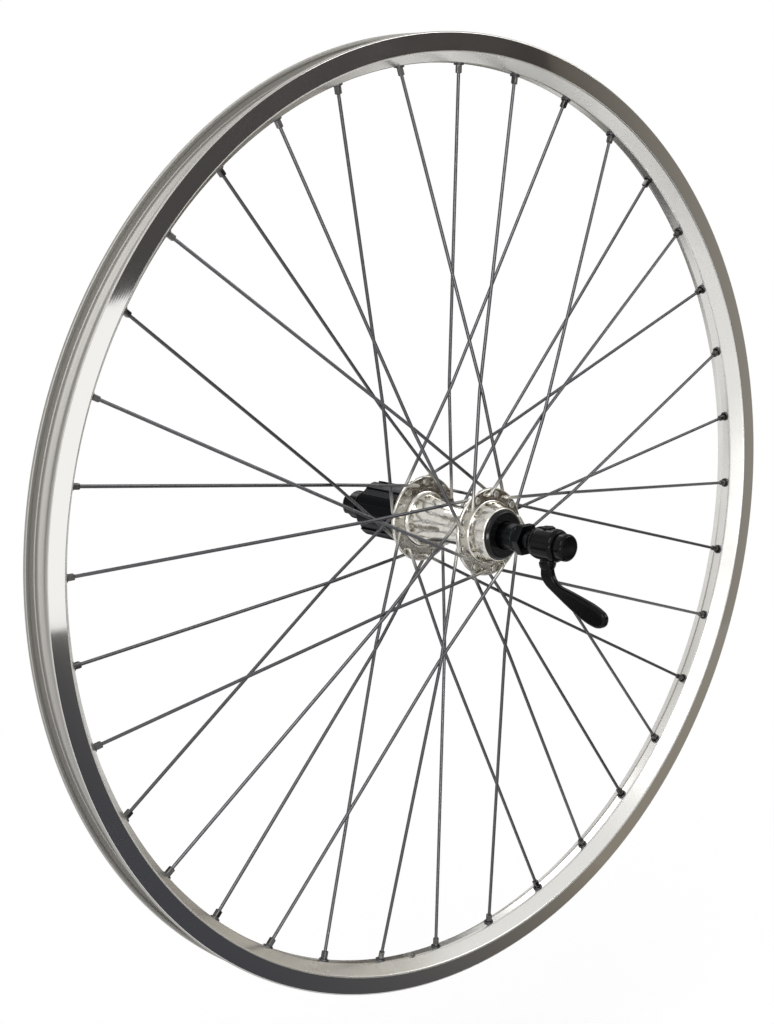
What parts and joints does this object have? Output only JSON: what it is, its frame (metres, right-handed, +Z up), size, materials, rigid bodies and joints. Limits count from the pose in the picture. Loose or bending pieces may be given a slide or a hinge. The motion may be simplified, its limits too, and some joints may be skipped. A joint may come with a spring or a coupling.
{
  "type": "bicycle rear wheel",
  "caption": "Rear bicycle wheel without a tyre: double-wall rim, three-cross laced spokes, hub with splined freehub and a quick-release skewer.",
  "frame": {"origin": "on the axle, in the rim's centre plane", "axes": "+Y along the axle towards the freehub (drive side), +Z up, +X to the right seen from the quick-release lever"},
  "size_m": [0.5709, 0.215, 0.571],
  "materials": {
    "rim_alloy": "polished",
    "hub_alloy": "polished",
    "spoke_steel": "drawn",
    "nipple_silver": "nickel plated",
    "cap_black": "gloss",
    "cone_black": "black oxide",
    "ball_steel": "polished",
    "axle_steel": "machined",
    "freehub_black": "black oxide",
    "release_black": "black anodised"
  },
  "bodies": {
    "axle_set": {"axle": "axle_steel", "cones": "cone_black", "locknuts": "cone_black"},
    "wheel": {"rim": "rim_alloy", "spoke_nipples": "nipple_silver", "hub_shell": "hub_alloy", "left_dust_cap": "cap_black", "bearing_balls": "ball_steel", "freehub_core": "axle_steel", "freehub_pawls": "axle_steel", "spoke_left_01": "spoke_steel", "spoke_left_02": "spoke_steel", "spoke_left_03": "spoke_steel", "spoke_left_04": "spoke_steel", "spoke_left_05": "spoke_steel", "spoke_left_06": "spoke_steel", "spoke_left_07": "spoke_steel", "spoke_left_08": "spoke_steel", "spoke_left_09": "spoke_steel", "spoke_left_10": "spoke_steel", "spoke_left_11": "spoke_steel", "spoke_left_12": "spoke_steel", "spoke_left_13": "spoke_steel", "spoke_left_14": "spoke_steel", "spoke_left_15": "spoke_steel", "spoke_left_16": "spoke_steel", "spoke_left_17": "spoke_steel", "spoke_left_18": "spoke_steel", "spoke_right_01": "spoke_steel", "spoke_right_02": "spoke_steel", "spoke_right_03": "spoke_steel", "spoke_right_04": "spoke_steel", "spoke_right_05": "spoke_steel", "spoke_right_06": "spoke_steel", "spoke_right_07": "spoke_steel", "spoke_right_08": "spoke_steel", "spoke_right_09": "spoke_steel", "spoke_right_10": "spoke_steel", "spoke_right_11": "spoke_steel", "spoke_right_12": "spoke_steel", "spoke_right_13": "spoke_steel", "spoke_right_14": "spoke_steel", "spoke_right_15": "spoke_steel", "spoke_right_16": "spoke_steel", "spoke_right_17": "spoke_steel", "spoke_right_18": "spoke_steel"},
    "freehub": {"freehub_body": "freehub_black"},
    "quick_release": {"qr_housing": "release_black"},
    "lever": {"qr_lever": "release_black", "lever_cap_screw": "cone_black"},
    "skewer": {"skewer_rod": "axle_steel"},
    "nut": {"skewer_nut": "release_black"}
  },
  "joints": [
    {"name": "wheel_spin", "type": "hinge", "parent": "axle_set", "child": "wheel", "pos_m": [0, 0, 0], "axis": [0, 1, 0], "continuous": true},
    {"name": "freehub_spin", "type": "hinge", "parent": "wheel", "child": "freehub", "pos_m": [0, 0.045, 0], "axis": [0, 1, 0], "continuous": true},
    {"name": "quick_release_turn", "type": "hinge", "parent": "axle_set", "child": "quick_release", "pos_m": [0, -0.073, 0], "axis": [0, 1, 0], "continuous": true},
    {"name": "lever_swing", "type": "hinge", "parent": "quick_release", "child": "lever", "pos_m": [0, -0.0825, 0], "axis": [0, 0, 1], "range_deg": [-90, 90]},
    {"name": "rod_draw", "type": "slide", "parent": "quick_release", "child": "skewer", "axis": [0, 1, 0], "range_m": [-0.0007, 0.0007]},
    {"name": "nut_turn", "type": "hinge", "parent": "skewer", "child": "nut", "pos_m": [0, 0.08, 0], "axis": [0, 1, 0], "continuous": true}
  ],
  "couplings": [
    {"joint": "lever_swing", "follows": "rod_draw", "rad_per_m": 2244}
  ]
}
